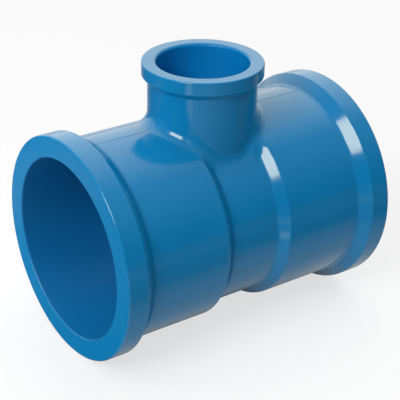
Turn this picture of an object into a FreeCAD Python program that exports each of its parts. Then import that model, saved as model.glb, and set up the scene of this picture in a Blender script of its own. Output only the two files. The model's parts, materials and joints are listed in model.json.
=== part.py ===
import FreeCAD, Part
import math
import os

from FreeCAD import Vector

# Reducing tee for solvent-welded PVC-U pressure pipe, moulded in one piece.
# The run lies along X, with a pipe socket at each end. A smaller branch socket
# stands on it, along Z. The origin is where the two axes cross. Millimetres.

# Run sockets: the bore takes the pipe, and the bead stiffens the mouth
run_socket_bore = 50.2
run_socket_depth = 31.0
run_socket_wall = 3.25
run_bead_height = 2.9
run_bead_width = 6.0

# Waist between the run sockets, and the stops that the pipe ends meet
run_stop_height = 2.6
run_stop_land = 1.7
run_waist_wall = 3.5
run_barrel_overlap = 2.15
waist_slope_length = 2.5

# Branch socket
branch_socket_bore = 25.2
branch_socket_depth = 19.0
branch_socket_wall = 2.35
branch_bead_height = 1.65
branch_bead_width = 3.6
branch_stop_height = 1.8
branch_stop_land = 3.2

# Slopes, blends and broken edges
bead_slope_angle = 45.0
run_bead_foot_blend = 1.6
rim_chamfer = 0.5
lead_in_chamfer = 0.65
root_fillet = 4.0

# How far the core that forms the bores reaches past the moulding it leaves
core_reach = 2.0

# Points closer together than this are in the same place
same_place = 0.001

# Radii, out from the run's axis and from the branch's axis
run_socket_r = run_socket_bore / 2
run_barrel_r = run_socket_r + run_socket_wall
run_bead_r = run_barrel_r + run_bead_height
run_waterway_r = run_socket_r - run_stop_height
run_waist_r = run_waterway_r + run_waist_wall
branch_socket_r = branch_socket_bore / 2
branch_barrel_r = branch_socket_r + branch_socket_wall
branch_bead_r = branch_barrel_r + branch_bead_height
branch_waterway_r = branch_socket_r - branch_stop_height

# Places along the run, out from its middle
run_stop_x = branch_waterway_r + run_stop_land
run_mouth_x = run_stop_x + run_socket_depth
run_bead_x = run_mouth_x - run_bead_width
run_barrel_x = run_stop_x - run_barrel_overlap
run_waist_x = run_barrel_x - waist_slope_length

# Heights up the branch, from the run's axis
branch_stop_z = run_waterway_r + branch_stop_land
branch_mouth_z = branch_stop_z + branch_socket_depth
branch_bead_z = branch_mouth_z - branch_bead_width

bead_slope = math.tan(math.radians(bead_slope_angle))
run_bead_foot_x = run_bead_x - run_bead_height / bead_slope
branch_bead_foot_z = branch_bead_z - branch_bead_height / bead_slope

run_axis = Vector(1, 0, 0)
branch_axis = Vector(0, 0, 1)


def profile_point(axis, along, out):
    """A point of a half section, along its axis and out from it."""
    if axis is run_axis:
        return Vector(along, 0, out)
    return Vector(out, 0, along)


def rounded_corner(before, corner, after, radius):
    """The arc that rounds a corner between two straight lines."""
    to_before = (before - corner).normalize()
    to_after = (after - corner).normalize()
    half_angle = to_before.getAngle(to_after) / 2
    start = corner + to_before * (radius / math.tan(half_angle))
    end = corner + to_after * (radius / math.tan(half_angle))
    inward = (to_before + to_after).normalize()
    middle = corner + inward * (radius / math.sin(half_angle) - radius)
    return Part.Arc(start, middle, end)


def turned(axis, corners):
    """A solid of revolution from its half section.

    Each corner is (along, out, radius), and a radius of 0 leaves it sharp.
    """
    points = [profile_point(axis, along, out) for along, out, radius in corners]
    edges = []
    last_end = None
    for index, (along, out, radius) in enumerate(corners):
        corner = points[index]
        start, end = corner, corner
        if radius > 0:
            after = points[(index + 1) % len(points)]
            arc = rounded_corner(points[index - 1], corner, after, radius)
            start, end = arc.StartPoint, arc.EndPoint
        if last_end is not None:
            edges.append(Part.LineSegment(last_end, start).toShape())
        if radius > 0:
            edges.append(arc.toShape())
        last_end = end
    edges.append(Part.LineSegment(last_end, points[0]).toShape())
    return Part.Face(Part.Wire(edges)).revolve(Vector(0, 0, 0), axis, 360)


def both_ways(half):
    """Corners of a section that is the same on both sides of the run's middle."""
    mirrored = [(-along, out, radius) for along, out, radius in reversed(half)]
    far_end = half[-1][0]
    return [(-far_end, 0, 0)] + mirrored + half + [(far_end, 0, 0)]


def run_outside():
    """The waist, a slope up to each socket's barrel, and a bead at each mouth."""
    return turned(run_axis, both_ways([
        (run_waist_x, run_waist_r, 0),
        (run_barrel_x, run_barrel_r, 0),
        (run_bead_foot_x, run_barrel_r, run_bead_foot_blend),
        (run_bead_x, run_bead_r, 0),
        (run_mouth_x - rim_chamfer, run_bead_r, 0),
        (run_mouth_x, run_bead_r - rim_chamfer, 0),
    ]))


def branch_outside():
    """A plain barrel up from the run's axis, with a bead at its mouth."""
    return turned(branch_axis, [
        (0, 0, 0),
        (0, branch_barrel_r, 0),
        (branch_bead_foot_z, branch_barrel_r, 0),
        (branch_bead_z, branch_bead_r, 0),
        (branch_mouth_z - rim_chamfer, branch_bead_r, 0),
        (branch_mouth_z, branch_bead_r - rim_chamfer, 0),
        (branch_mouth_z, 0, 0),
    ])


def run_core():
    """The waterway between the two pipe stops, and both sockets."""
    return turned(run_axis, both_ways([
        (run_stop_x, run_waterway_r, 0),
        (run_stop_x, run_socket_r, 0),
        (run_mouth_x - lead_in_chamfer, run_socket_r, 0),
        (run_mouth_x, run_socket_r + lead_in_chamfer, 0),
        (run_mouth_x, run_bead_r + core_reach, 0),
        (run_mouth_x + core_reach, run_bead_r + core_reach, 0),
    ]))


def branch_core():
    """The waterway up from the run, the pipe stop and the socket."""
    return turned(branch_axis, [
        (0, 0, 0),
        (0, branch_waterway_r, 0),
        (branch_stop_z, branch_waterway_r, 0),
        (branch_stop_z, branch_socket_r, 0),
        (branch_mouth_z - lead_in_chamfer, branch_socket_r, 0),
        (branch_mouth_z, branch_socket_r + lead_in_chamfer, 0),
        (branch_mouth_z, branch_bead_r + core_reach, 0),
        (branch_mouth_z + core_reach, branch_bead_r + core_reach, 0),
        (branch_mouth_z + core_reach, 0, 0),
    ])


def saddle_edges(outside):
    """Edges where the branch's barrel stands on the waist and on both slopes."""
    found = []
    for edge in outside.Edges:
        points = edge.discretize(7)
        on_barrel = all(abs(math.hypot(p.x, p.y) - branch_barrel_r) < same_place for p in points)
        if on_barrel and all(0 < p.z < run_barrel_r + same_place for p in points):
            found.append(edge)
    return found


def tee_body():
    """The whole moulding.

    The fillet at the branch's root follows the saddle over the waist and both
    slopes, so it is made on the outside alone, before the cores are taken out.
    """
    outside = run_outside().fuse(branch_outside()).Solids[0]
    saddle = saddle_edges(outside)
    outside = outside.makeFillet(root_fillet, saddle)
    return outside.cut(run_core().fuse(branch_core())).Solids[0]


os.makedirs("parts", exist_ok=True)
tee_body().exportStep("parts/tee_body.step")
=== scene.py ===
import json
import math

import bmesh
import bpy
import numpy as np
from mathutils import Matrix, Vector


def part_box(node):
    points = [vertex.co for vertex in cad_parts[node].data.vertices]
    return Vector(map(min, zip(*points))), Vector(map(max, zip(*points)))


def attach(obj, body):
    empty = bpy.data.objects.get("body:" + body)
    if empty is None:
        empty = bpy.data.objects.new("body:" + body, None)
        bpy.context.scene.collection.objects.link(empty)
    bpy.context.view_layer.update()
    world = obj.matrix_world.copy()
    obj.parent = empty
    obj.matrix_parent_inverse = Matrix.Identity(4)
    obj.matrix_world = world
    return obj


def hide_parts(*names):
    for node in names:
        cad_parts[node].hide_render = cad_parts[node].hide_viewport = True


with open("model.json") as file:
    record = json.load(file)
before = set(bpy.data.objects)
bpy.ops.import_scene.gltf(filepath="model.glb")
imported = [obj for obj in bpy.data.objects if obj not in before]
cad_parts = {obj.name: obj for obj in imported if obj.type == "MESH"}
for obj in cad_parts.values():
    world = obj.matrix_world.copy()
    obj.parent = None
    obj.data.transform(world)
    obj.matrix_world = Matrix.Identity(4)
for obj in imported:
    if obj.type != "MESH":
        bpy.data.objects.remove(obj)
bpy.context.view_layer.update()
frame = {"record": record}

# The tee's body. The real one is a single injection moulding in blue PVC-U: a run with a
# socket at each end, a waist between them, and a branch socket on top. Its surface is laid
# out here as one closed skin, with every edge as round as the mould leaves it. Sizes are in
# millimetres and turns in degrees.
mm = 0.001
body_low, body_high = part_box("tee_body")
bores = {mount["name"]: mount["dims"]["r_mm"] for mount in frame["record"]["mounts"]}

run_socket_wall = 3.25
run_socket_depth = 31.0
run_bead_width = 6.0
run_bead_height = 2.9
waist_step = 2.35
waist_slope_length = 2.5
branch_socket_wall = 2.35
branch_socket_depth = 19.0
branch_bead_width = 3.6
branch_bead_height = 1.65
branch_stop_height = 1.8

run_mouth_x = body_high.x / mm
run_bead_r = -body_low.z / mm
run_socket_r = bores["run_socket_right"]
run_barrel_r = run_socket_r + run_socket_wall
run_waist_r = run_barrel_r - waist_step
run_waterway_r = bores["run_waterway"]
run_bead_x = run_mouth_x - run_bead_width
run_bead_foot_x = run_bead_x - run_bead_height
run_barrel_x = 10.35
run_waist_x = run_barrel_x - waist_slope_length
run_stop_x = run_mouth_x - run_socket_depth

branch_mouth_z = body_high.z / mm
branch_socket_r = bores["branch_socket"]
branch_barrel_r = branch_socket_r + branch_socket_wall
branch_bead_r = branch_barrel_r + branch_bead_height
branch_waterway_r = branch_socket_r - branch_stop_height
branch_bead_z = branch_mouth_z - branch_bead_width
branch_bead_foot_z = branch_bead_z - branch_bead_height
branch_stop_z = branch_mouth_z - branch_socket_depth

run_rim_round = 0.6
branch_rim_round = 0.4
run_lead_in_round = 0.5
branch_lead_in_round = 0.9
ridge_round = 0.4
run_bead_foot_blend = 1.6
branch_bead_foot_blend = 0.6
waist_foot_blend = 1.3
step_ridge_round = 0.9
stop_edge_round = 0.4
stop_foot_round = 0.3
root_fillet = 4.0
crossing_round = 0.8
soft_step_start_x = 3.0
soft_step_end_x = 11.6
soft_step_clear = 1.2
full_step_clear = 3.4

arc_step = 10
station_step = 0.8
turn_step = 2
window_turn = 52
outer_window_x = 20.6
inner_window_x = 11.9
straight_spokes_x = 12.0
barrel_start_z = 36.0
waterway_start_z = 24.8
nudge = 1e-4
halvings = 50
past_fillet = 1.02
least_clear = 1e-7
least_lean = 1e-9
merge_within = 0.0005


def rounded_section(corners):
    """Points and normals along a section. A corner is (along, out, radius of its round)."""
    def across(start, end):
        step = (end - start) / np.linalg.norm(end - start)
        return np.array([-step[1], step[0]])

    places = [np.array(corner[:2], float) for corner in corners]
    points = [places[0]]
    normals = [across(places[0], places[1])]
    for before, corner, after, sizes in zip(places, places[1:], places[2:], corners[1:]):
        first = across(before, corner)
        last = across(corner, after)
        turn = math.atan2(first[0] * last[1] - first[1] * last[0], first @ last)
        reach = math.copysign(sizes[2], turn)
        centre = corner + (first + last) * reach / (1 + first @ last)
        for angle in np.linspace(0, turn, math.ceil(abs(turn) / math.radians(arc_step)) + 1):
            spin = np.array([[math.cos(angle), -math.sin(angle)], [math.sin(angle), math.cos(angle)]])
            normals.append(spin @ first)
            points.append(centre - reach * normals[-1])
    points.append(places[-1])
    normals.append(across(places[-2], places[-1]))
    return np.array(points), np.array(normals)


def filled(points, normals, step):
    """The same section with more points, so that none is further than step from the next."""
    gaps = np.linalg.norm(np.diff(points, axis=0), axis=1)
    shares = []
    for start, gap in enumerate(gaps):
        parts = max(1, math.ceil(gap / step))
        shares.append(np.linspace(start, start + 1, parts, endpoint=False))
    where = np.append(np.concatenate(shares), len(points) - 1)
    index = np.arange(len(points))
    denser = []
    for rows in (points, normals):
        denser.append(np.column_stack([np.interp(where, index, column) for column in rows.T]))
    return denser


def joined(first, second, alike, radius):
    """Distance to two bodies with a fillet between them. alike is the cosine of their normals."""
    gap = np.abs(first - second)
    reach = radius * (1 - alike)
    short = np.minimum(gap, reach) ** 2 / np.maximum(1 - alike, least_lean)
    bridge = 2 * radius - np.sqrt((1 + alike) * (2 * radius ** 2 - short))
    return (first + second - np.where(gap < reach, bridge, gap)) / 2


def smooth_step(value, start, end):
    """0 up to start, 1 from end, and a smooth rise between them."""
    share = np.clip((value - start) / (end - start), 0, 1)
    return share ** 2 * (3 - 2 * share)


def run_outside(along, out, clear):
    """Distance from the run's outside: the waist, and a slope up to each barrel.

    Clear is how far off the branch's wall is. Close to it the step softens into the root.
    """
    slope_angle = math.atan2(run_barrel_r - run_waist_r, run_barrel_x - run_waist_x)
    alike = math.cos(slope_angle)
    barrel = out - run_barrel_r
    slope = barrel * alike - (np.abs(along) - run_barrel_x) * math.sin(slope_angle)
    foot = joined(out - run_waist_r, slope, alike, waist_foot_blend)
    past_foot = foot + step_ridge_round
    past_barrel = barrel + step_ridge_round
    apart = past_foot ** 2 + past_barrel ** 2 - 2 * alike * past_foot * past_barrel
    corner = np.sqrt(apart / (1 - alike ** 2))
    on_ridge = (past_foot > alike * past_barrel) & (past_barrel > alike * past_foot)
    stepped = np.where(on_ridge, corner - step_ridge_round, np.maximum(foot, barrel))
    drop = 1 - smooth_step(np.abs(along), soft_step_start_x, soft_step_end_x)
    softened = barrel + (run_barrel_r - run_waist_r) * drop
    share = smooth_step(clear, soft_step_clear, full_step_clear)
    return softened + (stepped - softened) * share


def waterway_inside(along, out, clear):
    """Distance from the wall of the run's straight waterway."""
    return out - run_waterway_r + 0 * along


def meeting(place, run_distance, branch_r, radius):
    """Distance from the run and a branch of that radius, with a fillet where they meet."""
    x, y, z = place
    out = np.hypot(y, z)
    from_branch_axis = np.hypot(x, y)
    clear = from_branch_axis - branch_r
    along_lean = run_distance(x + nudge, out, clear) - run_distance(x - nudge, out, clear)
    out_lean = run_distance(x, out + nudge, clear) - run_distance(x, out - nudge, clear)
    alike = (along_lean * x + out_lean * y * y / out) / from_branch_axis / np.hypot(along_lean, out_lean)
    return joined(run_distance(x, out, clear), clear, np.clip(alike, -1, 1), radius)


def saddle(run_distance, run_r, branch_r, radius, feet, edge, top):
    """Rings of points from the branch's wall at height top, down the fillet, to the window's edge.

    Spokes run from an angle round the branch, feet, to a point seen from above, edge.
    """
    fillet_rows, plain_rows, wall_rows = 12, 8, 4
    foot = branch_r * np.column_stack([np.cos(feet), np.sin(feet)])
    way = edge - foot
    length = np.linalg.norm(way, axis=1)
    way = way / length[:, None]
    lean = np.sum(foot * way, axis=1)
    contact = np.arccos((branch_r + radius) * np.sin(feet) ** 2 / (run_r + radius))
    shares = np.linspace(0, 1, fillet_rows + 1)[:, None]
    clear = np.maximum(past_fillet * radius * (1 - np.cos(contact * shares)), least_clear)
    travel = np.sqrt(lean ** 2 + (branch_r + clear) ** 2 - branch_r ** 2) - lean
    rest = np.linspace(0, 1, plain_rows + 1)[1:, None]
    travel = np.vstack([travel, travel[-1] + (length - travel[-1]) * rest])
    x = foot[:, 0] + way[:, 0] * travel
    y = foot[:, 1] + way[:, 1] * travel
    below = np.zeros_like(x)
    above = np.full_like(x, top + radius)
    for _ in range(halvings):
        middle = (below + above) / 2
        inside = meeting((x, y, middle), run_distance, branch_r, radius) < 0
        below = np.where(inside, middle, below)
        above = np.where(inside, above, middle)
    z = (below + above) / 2
    up = np.linspace(1, 0, wall_rows + 1)[:-1, None]
    x = np.vstack([np.repeat(x[:1], wall_rows, axis=0), x])
    y = np.vstack([np.repeat(y[:1], wall_rows, axis=0), y])
    z = np.vstack([z[0] + (top - z[0]) * up, z])
    leans = []
    for shift in np.eye(3) * nudge:
        ahead = meeting((x + shift[0], y + shift[1], z + shift[2]), run_distance, branch_r, radius)
        behind = meeting((x - shift[0], y - shift[1], z - shift[2]), run_distance, branch_r, radius)
        leans.append(ahead - behind)
    leans = np.stack(leans, axis=-1)
    return np.stack([x, y, z], axis=-1), leans / np.linalg.norm(leans, axis=-1, keepdims=True)


def about_run(section, normals, turns):
    """A section (along, out) carried round the run's axis through turns, from the top."""
    sine, cosine = np.sin(turns), np.cos(turns)
    grids = []
    for rows in (section, normals):
        along = np.repeat(rows[:, :1], len(turns), axis=1)
        grids.append(np.stack([along, np.outer(rows[:, 1], sine), np.outer(rows[:, 1], cosine)], axis=-1))
    return grids


def about_branch(section, normals, turns):
    """A section (up, out) carried round the branch's axis through turns."""
    grids = []
    for rows in (section, normals):
        x = np.outer(rows[:, 1], np.cos(turns))
        y = np.outer(rows[:, 1], np.sin(turns))
        up = np.repeat(rows[:, :1], len(turns), axis=1)
        grids.append(np.stack([x, y, up], axis=-1))
    return grids


def window_edge(stations, turns, radii, width):
    """The edge of the patch round the branch, seen from above: front, right, back, left."""
    front = np.column_stack([stations, radii * np.sin(turns[0])])
    right = np.column_stack([np.full_like(turns, width), radii[-1] * np.sin(turns)])
    return np.vstack([front[:-1], right[:-1], (front * (1, -1))[:0:-1], (right * (-1, 1))[:0:-1]])


def both_ways(rows):
    """The rows of a half section, with their mirror image before them."""
    return np.vstack([rows[:0:-1] * (-1, 1), rows])


half_window = rounded_section([
    (0, run_waist_r, 0),
    (run_waist_x, run_waist_r, waist_foot_blend),
    (run_barrel_x, run_barrel_r, step_ridge_round),
    (outer_window_x, run_barrel_r, 0),
])
half_window = filled(*half_window, station_step)
window_section, window_normals = [both_ways(rows) for rows in half_window]
window_turns = np.radians(np.arange(-window_turn, window_turn + 1, turn_step))
below_turns = np.radians(np.arange(window_turn, 360 - window_turn + 1, turn_step))
all_turns = np.radians(np.arange(0, 360, turn_step))

stations = window_section[:, 0]
outer_edge = window_edge(stations, window_turns, window_section[:, 1], outer_window_x)
inner_stations = stations * inner_window_x / outer_window_x
inner_radii = np.full_like(stations, run_waterway_r)
inner_edge = window_edge(inner_stations, window_turns, inner_radii, inner_window_x)

# Each point of the window's edge is joined to a foot on the branch's wall. At the front and
# the back the spokes run straight across, and between them the feet are evenly spread.
corner_turn = math.acos(straight_spokes_x / branch_barrel_r)
edge_steps = np.diff(outer_edge, axis=0, append=outer_edge[:1])
path = np.append(0, np.cumsum(np.linalg.norm(edge_steps, axis=1)))
round_length = path[-1]
path = path[:-1]
straight = (np.abs(outer_edge[:, 0]) <= straight_spokes_x)
knots = [index for index in range(len(path)) if straight[index] != straight[index - 1]]
ends = [path[knots[0]], path[knots[1] - 1], path[knots[2]], path[knots[3] - 1]]
end_turns = [-math.pi + corner_turn, -corner_turn, corner_turn, math.pi - corner_turn]
feet = np.interp(
    path,
    [ends[3] - round_length, *ends, ends[0] + round_length],
    [end_turns[3] - 2 * math.pi, *end_turns, end_turns[0] + 2 * math.pi],
)
straight_foot = np.arccos(outer_edge[:, 0] / branch_barrel_r, where=straight, out=np.zeros_like(path))
feet = np.where(straight, np.copysign(straight_foot, outer_edge[:, 1]), feet)

socket_section, socket_normals = rounded_section([
    (outer_window_x, run_barrel_r, 0),
    (run_bead_foot_x, run_barrel_r, run_bead_foot_blend),
    (run_bead_x, run_bead_r, ridge_round),
    (run_mouth_x, run_bead_r, run_rim_round),
    (run_mouth_x, run_socket_r, run_lead_in_round),
    (run_stop_x, run_socket_r, stop_foot_round),
    (run_stop_x, run_waterway_r, stop_edge_round),
    (inner_window_x, run_waterway_r, 0),
])
branch_section, branch_normals = rounded_section([
    (barrel_start_z, branch_barrel_r, 0),
    (branch_bead_foot_z, branch_barrel_r, branch_bead_foot_blend),
    (branch_bead_z, branch_bead_r, ridge_round),
    (branch_mouth_z, branch_bead_r, branch_rim_round),
    (branch_mouth_z, branch_socket_r, branch_lead_in_round),
    (branch_stop_z, branch_socket_r, stop_foot_round),
    (branch_stop_z, branch_waterway_r, stop_edge_round),
    (waterway_start_z, branch_waterway_r, 0),
])
inner_section = np.column_stack([inner_stations, inner_radii])
inner_normals = np.column_stack([np.zeros_like(inner_radii), -np.ones_like(inner_radii)])
outer_saddle = saddle(
    run_outside, run_barrel_r, branch_barrel_r, root_fillet,
    feet, outer_edge, barrel_start_z,
)
inner_saddle = saddle(
    waterway_inside, run_waterway_r, branch_waterway_r, crossing_round,
    feet, inner_edge, waterway_start_z,
)

open_grids = [
    about_run(window_section, window_normals, below_turns),
    about_run(inner_section, inner_normals, below_turns),
]
closed_grids = [
    about_run(socket_section, socket_normals, all_turns),
    about_run(socket_section * (-1, 1), socket_normals * (-1, 1), all_turns),
    about_branch(branch_section, branch_normals, feet),
    outer_saddle,
    (inner_saddle[0], -inner_saddle[1]),
]


def skin(name, open_grids, closed_grids):
    """One closed mesh from grids of points and normals, merged where their edges meet."""
    points = []
    normals = []
    faces = []
    for grids, closed in ((open_grids, False), (closed_grids, True)):
        for grid, leans in grids:
            index = sum(map(len, points)) + np.arange(grid[..., 0].size).reshape(grid.shape[:2])
            if closed:
                index = np.column_stack([index, index[:, 0]])
            corners = [index[:-1, :-1], index[1:, :-1], index[1:, 1:], index[:-1, 1:]]
            faces.append(np.stack(corners, axis=-1).reshape(-1, 4))
            points.append(grid.reshape(-1, 3))
            normals.append(leans.reshape(-1, 3))
    mesh = bpy.data.meshes.new(name)
    mesh.from_pydata((np.vstack(points) * mm).tolist(), [], np.vstack(faces).tolist())
    lean = mesh.attributes.new("lean", "FLOAT_VECTOR", "POINT")
    lean.data.foreach_set("vector", np.vstack(normals).ravel())
    work = bmesh.new()
    work.from_mesh(mesh)
    bmesh.ops.remove_doubles(work, verts=work.verts, dist=merge_within * mm)
    bmesh.ops.recalc_face_normals(work, faces=work.faces)
    work.to_mesh(mesh)
    work.free()
    leans = np.zeros(3 * len(mesh.vertices))
    mesh.attributes["lean"].data.foreach_get("vector", leans)
    mesh.attributes.remove(mesh.attributes["lean"])
    mesh.shade_smooth()
    mesh.normals_split_custom_set_from_vertices(leans.reshape(-1, 3))
    piece = bpy.data.objects.new(name, mesh)
    bpy.context.scene.collection.objects.link(piece)
    return piece


tee = skin("tee_skin", open_grids, closed_grids)


class Wire:
    """A node's output. Arithmetic on it adds Math nodes, and add() makes any other node."""

    def __init__(self, tree, socket=None):
        self.tree = tree
        self.socket = socket

    def add(self, kind, settings=None, inputs=None, output=0):
        node = self.tree.nodes.new(kind)
        for name, value in (settings or {}).items():
            setattr(node, name, value)
        for name, value in (inputs or {}).items():
            if isinstance(value, Wire):
                self.tree.links.new(value.socket, node.inputs[name])
            else:
                node.inputs[name].default_value = value
        return Wire(self.tree, node.outputs[output] if len(node.outputs) else None)

    def maths(self, operation, *values):
        return self.add("ShaderNodeMath", {"operation": operation}, dict(enumerate(values)))

    def __add__(self, other):
        return self.maths("ADD", self, other)

    def __sub__(self, other):
        return self.maths("SUBTRACT", self, other)

    def __rsub__(self, other):
        return self.maths("SUBTRACT", other, self)

    def __mul__(self, other):
        return self.maths("MULTIPLY", self, other)

    __radd__ = __add__
    __rmul__ = __mul__

    def ramp(self, start, end, low=0.0, high=1.0):
        """A smooth step from low to high as the value goes from start to end."""
        return self.add(
            "ShaderNodeMapRange",
            {"interpolation_type": "SMOOTHSTEP"},
            {"Value": self, 1: start, 2: end, 3: low, 4: high},
        )


def noise(wires, place, scale, detail=2.0):
    """Noise on a place, as a wire from 0 to 1. The scale is in waves to a metre."""
    return wires.add("ShaderNodeTexNoise", {}, {"Vector": place, "Scale": scale, "Detail": detail})


def measured(wires, place, way):
    """How far a place or direction reaches along a way."""
    return wires.add("ShaderNodeVectorMath", {"operation": "DOT_PRODUCT"}, {0: place, 1: way}, "Value")


def out_from_axis(wires, place, across):
    """How far a place is from an axis, with 1 for each way across the axis and 0 along it."""
    flat = wires.add("ShaderNodeVectorMath", {"operation": "MULTIPLY"}, {0: place, 1: across})
    return wires.add("ShaderNodeVectorMath", {"operation": "LENGTH"}, {0: flat}, "Value")


def mixed(wires, share, first, second):
    """The first colour where share is 0, and the second where it is 1."""
    return wires.add("ShaderNodeMix", {"data_type": "RGBA"}, {0: share, 6: first, 7: second}, 2)


def within(out, radius):
    """1 inside a bore of that radius, in mm, and 0 outside it."""
    return out.ramp((radius + 0.05) * mm, (radius + 0.3) * mm, 1, 0)


def valley(along, out, foot, radius):
    """1 in the groove where a step or bead stands on a barrel of that radius, in mm."""
    after = along.ramp((foot - 1.5) * mm, (foot - 0.1) * mm)
    before = along.ramp((foot + 0.1) * mm, (foot + 1.2) * mm, 1, 0)
    above = out.ramp((radius - 0.3) * mm, (radius - 0.2) * mm)
    below = out.ramp((radius + 0.2) * mm, (radius + 0.9) * mm, 1, 0)
    return after * before * above * below


def blue_plastic():
    """Glossy blue PVC-U: even pigment, a polished mould's faint waviness, fine dulling.

    The bores are duller, and the grooves and the branch's bore less shiny. The run's bore is painted a
    darker blue, a painted shade, and the branch's bore a lighter blue, painted light. The grooves at the
    foot of the near bead and the near step are painted darker on their front side, a painted shade.
    """
    pigment = (0.004, 0.206, 0.466, 1)
    deep_pigment = (0.003, 0.198, 0.448, 1)
    # Painted shade: the run's bore is painted a darker blue than the body.
    run_bore_shade_blue = (0.002, 0.150, 0.385, 1)
    # Painted light: the branch's bore is painted a lighter blue than the body.
    branch_bore_lit_blue = (0.002, 0.221, 0.550, 1)
    # Painted shade: the near grooves are painted a darker blue on their front side.
    groove_shade_blue = (0.002, 0.140, 0.340, 1)
    tint = (1.0, 0.98, 0.72, 1.0)
    polish = 0.085
    bore_dulling = 0.28
    groove_matt = 0.85
    branch_bore_matt = 0.6
    material = bpy.data.materials.new("blue_pvc")
    material.use_nodes = True
    tree = material.node_tree
    tree.nodes.clear()
    wires = Wire(tree)
    place = wires.add("ShaderNodeTexCoord", {}, {}, "Object")
    cloud = noise(wires, place, scale=70.0)
    wave = noise(wires, place, scale=240.0, detail=1.0)
    peel = noise(wires, place, scale=1500.0)
    grain = noise(wires, place, scale=5000.0, detail=1.0)
    leftward = measured(wires, place, (-1, 0, 0))
    forward = measured(wires, place, (0, -1, 0))
    upward = measured(wires, place, (0, 0, 1))
    run_out = out_from_axis(wires, place, (0, 1, 1))
    branch_out = out_from_axis(wires, place, (1, 1, 0))
    in_run = within(run_out, run_socket_r)
    in_branch = within(branch_out, branch_socket_r) * upward.ramp(0.010, 0.012)
    inside = wires.maths("MAXIMUM", in_run, in_branch)
    bead_groove = valley(leftward, run_out, run_bead_foot_x, run_barrel_r)
    groove = bead_groove + valley(leftward, run_out, run_waist_x, run_waist_r)
    # Painted shade: darker colour in the near grooves, on the front side only.
    groove_shade = groove * forward.ramp(0.002, 0.012) * 0.8
    colour = mixed(wires, cloud.ramp(0.35, 0.65) * 0.7 + grain * 0.3, pigment, deep_pigment)
    # Painted light: the branch's bore takes the lighter blue.
    colour = mixed(wires, in_branch, colour, branch_bore_lit_blue)
    # Painted shade: the run's bore takes the darker blue.
    colour = mixed(wires, in_run, colour, run_bore_shade_blue)
    colour = mixed(wires, groove_shade, colour, groove_shade_blue)
    roughness = polish + cloud * 0.05 + peel * 0.03 + inside * bore_dulling
    height = wave * 0.7 + peel * 0.12 + grain * 0.02
    bump = wires.add("ShaderNodeBump", {}, {"Height": height, "Strength": 0.25, "Distance": 0.08 * mm})
    glossy = wires.add(
        "ShaderNodeBsdfPrincipled",
        {},
        {
            "Base Color": colour,
            "Roughness": roughness,
            "Normal": bump,
            "IOR": 1.53,
            "Specular Tint": tint,
        },
    )
    matt = wires.add(
        "ShaderNodeBsdfPrincipled",
        {},
        {"Base Color": colour, "Roughness": 1.0, "Normal": bump, "Specular IOR Level": 0.0},
    )
    share = groove * groove_matt + in_branch * branch_bore_matt
    shader = wires.add("ShaderNodeMixShader", {}, {0: share, 1: glossy, 2: matt})
    wires.add("ShaderNodeOutputMaterial", {}, {"Surface": shader})
    return material


tee.data.materials.append(blue_plastic())
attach(tee, "root")
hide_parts("tee_body")

# The parting line. The two halves of the mould meet in the plane through both axes, and leave
# a hair of the same blue plastic there: along the run's top and bottom and up both sides of
# the branch. It is a fine round ridge, half sunk, that follows the skin's own section.
line_radius = 0.25
line_proud = 0.08
line_sides = 10
line_rim_gap = 0.8
line_bead_gap = 2.5
line_end = 0.6


def up_to(grid_rows, column, limit):
    """The rows of a section after its first point, up to where a column passes a limit."""
    return [rows[1:int(np.argmax(grid_rows[0][:, column] > limit))] for rows in grid_rows]


def sunk_ends(points, normals):
    """The ridge's middle under a row of surface points. It dives into the skin at both ends."""
    path = points - normals * (line_radius - line_proud)
    ends = []
    for end, inner in ((0, 1), (-1, -2)):
        way = path[end] - path[inner]
        way = way / np.linalg.norm(way)
        ends.append(path[end] + way * line_end - normals[end] * line_radius)
    return np.vstack([ends[0], path, ends[1]])


run_rows = (socket_section, socket_normals)
branch_rows = (branch_section, branch_normals)
right_foot = int(np.argmin(np.abs(feet)))
down_branch = [rows[::-1, ::-1] for rows in up_to(branch_rows, 0, branch_mouth_z - line_rim_gap)]
root_rows = [rows[:, right_foot][:, [0, 2]] for rows in outer_saddle]
along_top = up_to(run_rows, 0, run_bead_foot_x)
upper_line = sunk_ends(*[np.vstack(rows) for rows in zip(down_branch, root_rows, along_top)])
foot_point = [np.array([[run_bead_foot_x - line_bead_gap, run_barrel_r]]), np.array([[0, 1]])]
lower_half = [np.vstack(rows) for rows in zip(half_window, foot_point)]
lower_line = sunk_ends(*[both_ways(rows) for rows in lower_half]) * (1, -1)
line_paths = [upper_line, upper_line * (-1, 1), lower_line]


def ridge_tree():
    """Geometry nodes that turn a path of edges into a fine round ridge with closed ends."""
    tree = bpy.data.node_groups.new("moulded_ridge", "GeometryNodeTree")
    kinds = {"Path": "Geometry", "Radius": "Float", "Sides": "Int", "Plastic": "Material"}
    for name, kind in kinds.items():
        tree.interface.new_socket(name, in_out="INPUT", socket_type="NodeSocket" + kind)
    tree.interface.new_socket("Ridge", in_out="OUTPUT", socket_type="NodeSocketGeometry")
    wires = Wire(tree)
    given = {name: wires.add("NodeGroupInput", {}, {}, name) for name in kinds}
    ring_size = {"Resolution": given["Sides"], "Radius": given["Radius"]}
    ring = wires.add("GeometryNodeCurvePrimitiveCircle", {}, ring_size)
    curve = wires.add("GeometryNodeMeshToCurve", {}, {"Mesh": given["Path"]})
    tube_parts = {"Curve": curve, "Profile Curve": ring, "Fill Caps": True}
    tube = wires.add("GeometryNodeCurveToMesh", {}, tube_parts)
    real = wires.add("GeometryNodeRealizeInstances", {}, {"Geometry": tube})
    painted = wires.add("GeometryNodeSetMaterial", {}, {"Geometry": real, "Material": given["Plastic"]})
    wires.add("NodeGroupOutput", {}, {"Ridge": painted})
    return tree


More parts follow.
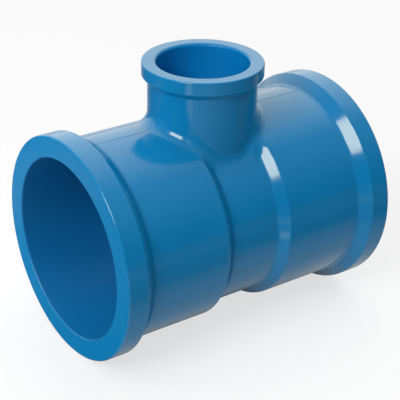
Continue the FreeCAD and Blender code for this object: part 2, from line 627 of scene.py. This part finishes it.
def follow(name, paths, tree, settings):
    """A plain mesh made by a geometry nodes tree from paths in the plane of both axes."""
    points = []
    edges = []
    for path in paths:
        start = len(points)
        points += [(along, 0, up) for along, up in (path * mm).tolist()]
        edges += [(index, index + 1) for index in range(start, len(points) - 1)]
    mesh = bpy.data.meshes.new(name + "_path")
    mesh.from_pydata(points, edges, [])
    piece = bpy.data.objects.new(name, mesh)
    bpy.context.scene.collection.objects.link(piece)
    modifier = piece.modifiers.new("ridge", "NODES")
    modifier.node_group = tree
    for item in tree.interface.items_tree:
        if item.name in settings:
            modifier[item.identifier] = settings[item.name]
    evaluated = piece.evaluated_get(bpy.context.evaluated_depsgraph_get())
    piece.data = bpy.data.meshes.new_from_object(evaluated)
    piece.modifiers.remove(modifier)
    bpy.data.meshes.remove(mesh)
    piece.data.shade_smooth()
    return piece


line_settings = {"Radius": line_radius * mm, "Sides": line_sides, "Plastic": tee.data.materials[0]}
parting_line = follow("parting_line", line_paths, ridge_tree(), line_settings)
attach(parting_line, "root")

# The table and the studio. The tee stands on a pale matt table in a dim room. One large soft
# lamp in front of it on the left gives the highlights, a small one beside its left mouth
# lights the socket, and a white wall stands behind.
table_size = 4.0
corner = table_size / 2
corners = [(-corner, -corner), (corner, -corner), (corner, corner), (-corner, corner)]
floor_z = body_low.z
floor_mesh = bpy.data.meshes.new("table_top")
floor_mesh.from_pydata([(x, y, floor_z) for x, y in corners], [], [(0, 1, 2, 3)])
floor = bpy.data.objects.new("table_top", floor_mesh)
bpy.context.scene.collection.objects.link(floor)


def patch(wires, place, middle, inner, outer, strength):
    """A round patch of that strength on the table. It fades from inner to outer, in metres."""
    away = wires.add("ShaderNodeVectorMath", {"operation": "DISTANCE"}, {0: place, 1: middle}, "Value")
    return away.ramp(inner, outer, strength, 0.0)


def table_paint():
    """Matt pale paint, pale to the camera, with painted reflections: to the tee's glossy rays the table
    glows, at a strength set for each part of it.

    The near side of the tee mirrors this painted glow of the table before it, close by and further out,
    darker under the tee as a painted shadow, two round glowing patches, a card and a small sheet that are
    only painted reflections, and a strip further back on the left. The far side mirrors a glow that grows
    to the right. To the light it sends back onto the tee the table is paler close by than further out, a
    painted pool of bounce light.
    """
    seen_grey = 0.24
    seen_glow = 0.70
    near_glow = 0.45
    warm_grey = (1.0, 0.98, 0.80, 1.0)
    across_view = (-0.469, 0.883, 0)
    card_reflection_middle = (-0.165, -0.098, floor_z)
    sheet_reflection_middle = (-0.039, -0.073, floor_z)
    material = bpy.data.materials.new("table_paint")
    material.use_nodes = True
    tree = material.node_tree
    tree.nodes.clear()
    wires = Wire(tree)
    place = wires.add("ShaderNodeTexCoord", {}, {}, "Object")
    right = measured(wires, place, (1, 0, 0))
    back = measured(wires, place, (0, 1, 0))
    behind = measured(wires, place, across_view)
    away = wires.add("ShaderNodeVectorMath", {"operation": "LENGTH"}, {0: place}, "Value")
    seen = wires.add("ShaderNodeLightPath", {}, {}, "Is Camera Ray")
    mirrored = wires.add("ShaderNodeLightPath", {}, {}, "Is Glossy Ray")
    # Painted reflections: how strongly the table glows to the tee's gloss, part by part.
    right_end = right.ramp(0.020, 0.042) * back.ramp(-0.034, -0.024)
    left_end = right.ramp(-0.052, -0.040, 1.0, 0.0) * back.ramp(-0.060, -0.045)
    near = back.ramp(-0.085, -0.040, 0.0, near_glow) + right_end * 0.14 + left_end * 0.2
    front = right.ramp(-0.16, 0.12, 0.52, 0.10) * away.ramp(0.13, 0.165, 0.35, 1.0)
    front = front * (1 - away.ramp(0.190, 0.215) * right.ramp(-0.14, -0.08, 0.8, 0.0))
    # Painted shadow: the glow is darker on the table under the tee.
    shade = back.ramp(-0.020, -0.004, 1.0, 0.2)
    before = wires.maths("MAXIMUM", near, front) * behind.ramp(0.0, 0.013, 1.0, 0.0) * shade
    # Painted reflections: two round glowing patches, seen only in the tee's gloss.
    card_reflection = patch(wires, place, card_reflection_middle, 0.012, 0.028, 1.25)
    sheet_reflection = patch(wires, place, sheet_reflection_middle, 0.010, 0.016, 1.1)
    strip_reflection = back.ramp(0.050, 0.085) * back.ramp(0.105, 0.135, 0.14, 0.0)
    near_side = before + card_reflection + sheet_reflection + strip_reflection * right.ramp(-0.06, -0.04, 1.0, 0.0)
    far_side = right.ramp(-0.06, 0.10, 0.06, 0.78) * behind.ramp(0.0, 0.08)
    # Painted bounce light: to the light it sends onto the tee, the table is paler close by than further
    # out.
    bounce = away.ramp(0.07, 0.13, 0.78, 0.45)
    grey = bounce + seen * (seen_grey - bounce) - mirrored * bounce
    colour = wires.add("ShaderNodeCombineColor", {}, {0: grey, 1: grey, 2: grey})
    diffuse = wires.add("ShaderNodeBsdfDiffuse", {}, {"Color": colour})
    glow = wires.add("ShaderNodeEmission", {}, {"Strength": seen * seen_glow + mirrored * far_side})
    warm_glow = wires.add("ShaderNodeEmission", {}, {"Color": warm_grey, "Strength": mirrored * near_side})
    lit = wires.add("ShaderNodeAddShader", {}, {0: diffuse, 1: glow})
    both = wires.add("ShaderNodeAddShader", {}, {0: lit, 1: warm_glow})
    wires.add("ShaderNodeOutputMaterial", {}, {"Surface": both})
    return material


floor_mesh.materials.append(table_paint())


def towards(turn, rise):
    """Direction out from the tee: turn from -Y towards +X and rise above level, in degrees."""
    turn, rise = math.radians(turn), math.radians(rise)
    return Vector((math.sin(turn) * math.cos(rise), -math.cos(turn) * math.cos(rise), math.sin(rise)))


def lamp(name, turn, rise, distance, width, height, roll, radiance):
    """A soft rectangular lamp that faces the tee. Radiance 1 shows as plain white."""
    light = bpy.data.lights.new(name, "AREA")
    light.shape = "RECTANGLE"
    light.size = width
    light.size_y = height
    light.energy = radiance * math.pi * width * height
    holder = bpy.data.objects.new(name, light)
    bpy.context.scene.collection.objects.link(holder)
    away = towards(turn, rise)
    spin = Matrix.Rotation(math.radians(roll), 4, "Z")
    turned = away.to_track_quat("Z", "Y").to_matrix().to_4x4() @ spin
    holder.matrix_world = Matrix.Translation(away * distance) @ turned
    holder.visible_camera = False
    return holder


lamp(
    "softbox", turn=-67.6, rise=36.9, distance=1.2,
    width=0.56, height=0.44, roll=-6, radiance=10.8,
)
fill = lamp(
    "fill", turn=-109.7, rise=18.6, distance=0.157,
    width=0.05, height=0.05, roll=0, radiance=6.8,
)
fill.visible_glossy = False


def studio_air():
    """The world: white to the camera, light from above and behind for the tee, and what it mirrors."""
    white = (1.0, 1.0, 1.0, 1.0)
    warm_white = (1.0, 0.99, 0.80, 1.0)
    wall_middle = towards(turn=158, rise=28)
    side_middle = towards(turn=126, rise=31)
    wall_strength = 1.48
    ceiling_strength = 1.48
    side_strength = 0.88
    world = bpy.data.worlds.new("studio")
    world.use_nodes = True
    tree = world.node_tree
    tree.nodes.clear()
    wires = Wire(tree)
    direction = wires.add("ShaderNodeTexCoord", {}, {}, "Generated")
    rise = measured(wires, direction, (0, 0, 1))
    seen = wires.add("ShaderNodeLightPath", {}, {}, "Is Camera Ray")
    mirrored = wires.add("ShaderNodeLightPath", {}, {}, "Is Glossy Ray")
    room = rise.ramp(0.1, 0.8, 0.042, 0.30)
    wall = measured(wires, direction, wall_middle).ramp(0.30, 1.0) * wall_strength
    ceiling = rise.ramp(0.55, 1.0) * ceiling_strength
    side = measured(wires, direction, side_middle).ramp(0.5, 0.9) * side_strength
    light = ceiling + side
    strength = light * (1 - mirrored) + seen * (1 - light)
    air = wires.add("ShaderNodeBackground", {}, {"Color": white, "Strength": strength})
    strength = mirrored * (room + wall)
    picture = wires.add("ShaderNodeBackground", {}, {"Color": warm_white, "Strength": strength})
    both = wires.add("ShaderNodeAddShader", {}, {0: air, 1: picture})
    wires.add("ShaderNodeOutputWorld", {}, {"Surface": both})
    return world


bpy.context.scene.world = studio_air()
bpy.context.scene.view_settings.view_transform = "Standard"

# The camera stands in front on the left and looks down on the tee, as the photograph does.
eye = Vector((-182.70, -253.45, 165.48)) * mm
aim = Vector((0, 0, 2.46)) * mm
lens_mm = 111.96
roll = math.radians(1.195)
camera = bpy.data.objects.new("camera", bpy.data.cameras.new("camera"))
bpy.context.scene.collection.objects.link(camera)
camera.data.lens = lens_mm
facing = (aim - eye).to_track_quat("-Z", "Y").to_matrix().to_4x4()
camera.matrix_world = Matrix.Translation(eye) @ facing @ Matrix.Rotation(roll, 4, "Z")
bpy.context.scene.camera = camera
